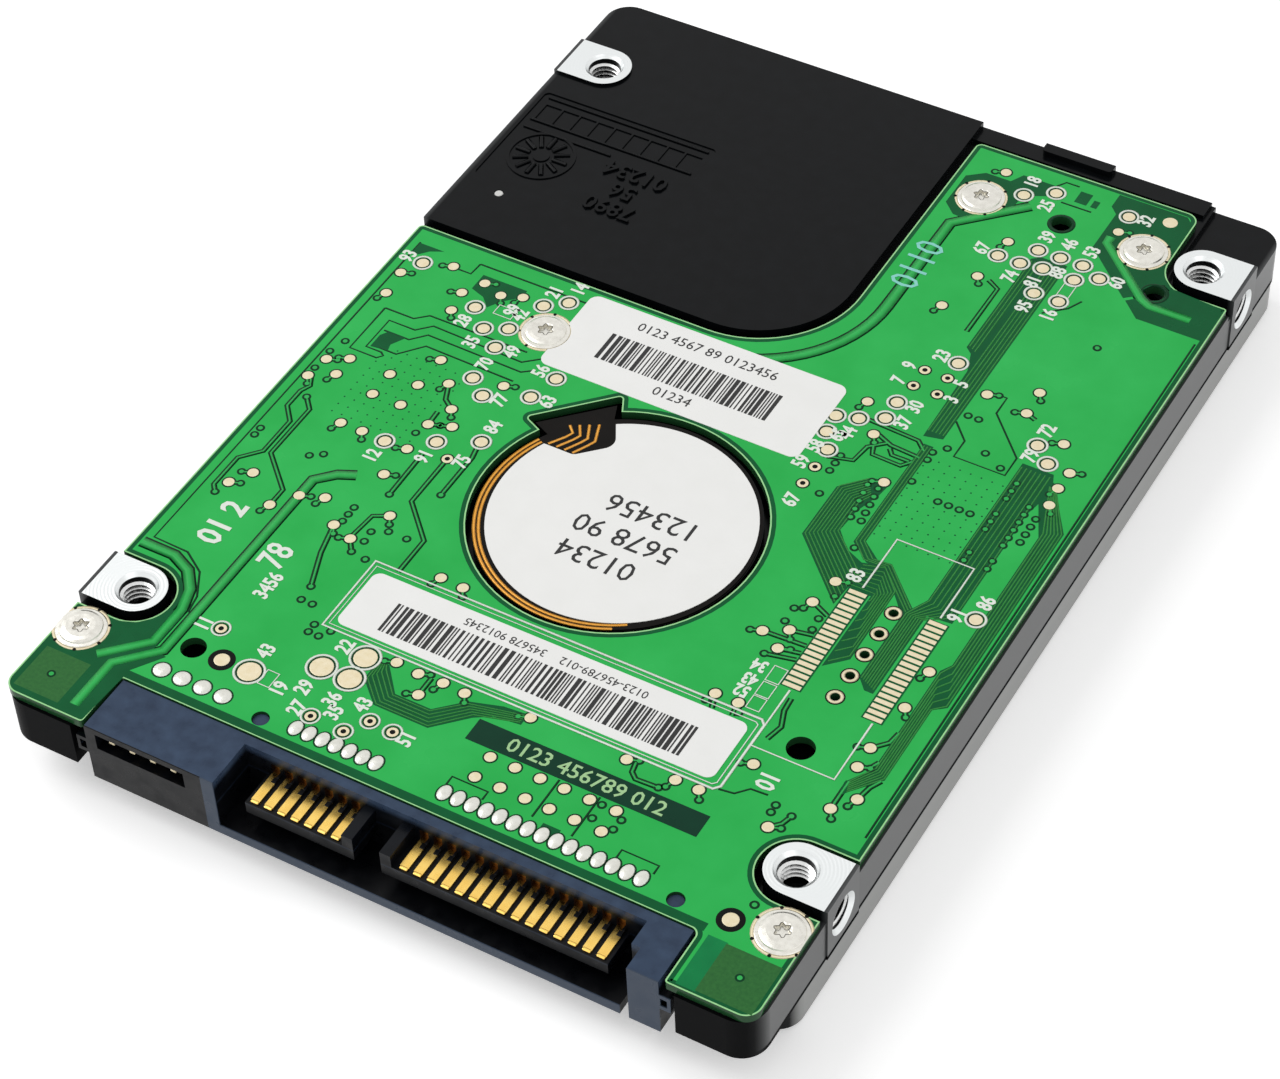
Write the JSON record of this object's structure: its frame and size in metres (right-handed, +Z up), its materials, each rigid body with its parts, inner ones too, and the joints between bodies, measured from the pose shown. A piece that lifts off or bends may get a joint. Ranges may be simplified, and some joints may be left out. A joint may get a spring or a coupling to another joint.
{
  "type": "hard disk drive",
  "caption": "Slim laptop-size hard disk drive with its circuit board up, threaded mounting lugs, an edge plug for data and power, and disks and a swinging arm inside.",
  "frame": {"origin": "middle of the cover's outer face, which the drive lies on", "axes": "+Z up through the circuit board, +Y along the drive away from the plug, +X across it"},
  "size_m": [0.0698, 0.1002, 0.0095],
  "materials": {
    "painted_case": "gloss black paint over cast aluminium",
    "cover_steel": "black painted pressed steel",
    "bare_aluminium": "machined",
    "steel": "ground",
    "screw_plate": "nickel plated",
    "disk_coat": "polished",
    "magnet_plate": "nickel plated",
    "copper_wire": "enamelled",
    "gold_plate": "gold plated",
    "board_mask": "solder mask",
    "chip_plastic": "moulded",
    "plug_plastic": "moulded",
    "white_plastic": "moulded",
    "film": "polyimide film",
    "paper": "printed label",
    "seal_rubber": "moulded",
    "filter_felt": "felt",
    "foam": "foam"
  },
  "bodies": {
    "root": {"base_casting": "painted_case", "top_cover": "cover_steel", "cover_gasket": "seal_rubber", "cover_label": "paper", "cover_screws": "screw_plate", "bearing_sleeve": "steel", "bearing_cap": "steel", "stator_core": "steel", "stator_coils": "copper_wire", "pivot_shaft": "steel", "cover_side_yoke": "magnet_plate", "base_side_yoke": "magnet_plate", "voice_coil_magnets": "magnet_plate", "yoke_posts": "steel", "crash_stops": "seal_rubber", "latch_pin": "steel", "load_ramp": "white_plastic", "flex_bracket": "chip_plastic", "head_connector": "chip_plastic", "head_flex": "film", "recirculation_filter": "filter_felt", "breather_filter": "filter_felt", "circuit_board": "board_mask", "board_screws": "screw_plate", "controller_chip": "chip_plastic", "motor_driver_chip": "chip_plastic", "memory_chip": "chip_plastic", "board_components": "chip_plastic", "foam_pad": "foam", "motor_flex": "film", "motor_label": "paper", "seal_label": "paper", "board_label": "paper", "connector_housing": "plug_plastic", "signal_contacts": "gold_plate", "power_contacts": "gold_plate", "jumper_pins": "gold_plate"},
    "spindle": {"motor_shaft": "steel", "motor_hub": "bare_aluminium", "rotor_magnet": "magnet_plate", "cover_side_disk": "disk_coat", "disk_spacer": "bare_aluminium", "base_side_disk": "disk_coat", "disk_clamp": "steel", "clamp_screws": "screw_plate"},
    "arm": {"actuator_arm": "bare_aluminium", "voice_coil": "copper_wire", "pivot_sleeve": "steel", "pivot_bearings": "steel", "head_suspensions": "steel", "read_write_heads": "chip_plastic", "arm_flex": "film", "head_preamplifier": "chip_plastic"},
    "latch": {"inertia_latch": "white_plastic"}
  },
  "joints": [
    {"name": "spindle_spin", "type": "hinge", "parent": "root", "child": "spindle", "pos_m": [0, -0.0102, 0.004], "axis": [0, 0, 1], "continuous": true},
    {"name": "arm_swing", "type": "hinge", "parent": "root", "child": "arm", "pos_m": [-0.014, 0.03, 0.004], "axis": [0, 0, 1], "range_deg": [-33, 0]},
    {"name": "latch_swing", "type": "hinge", "parent": "root", "child": "latch", "pos_m": [-0.024, 0.0186, 0.0045], "axis": [0, 0, 1], "range_deg": [-8, 8]}
  ]
}
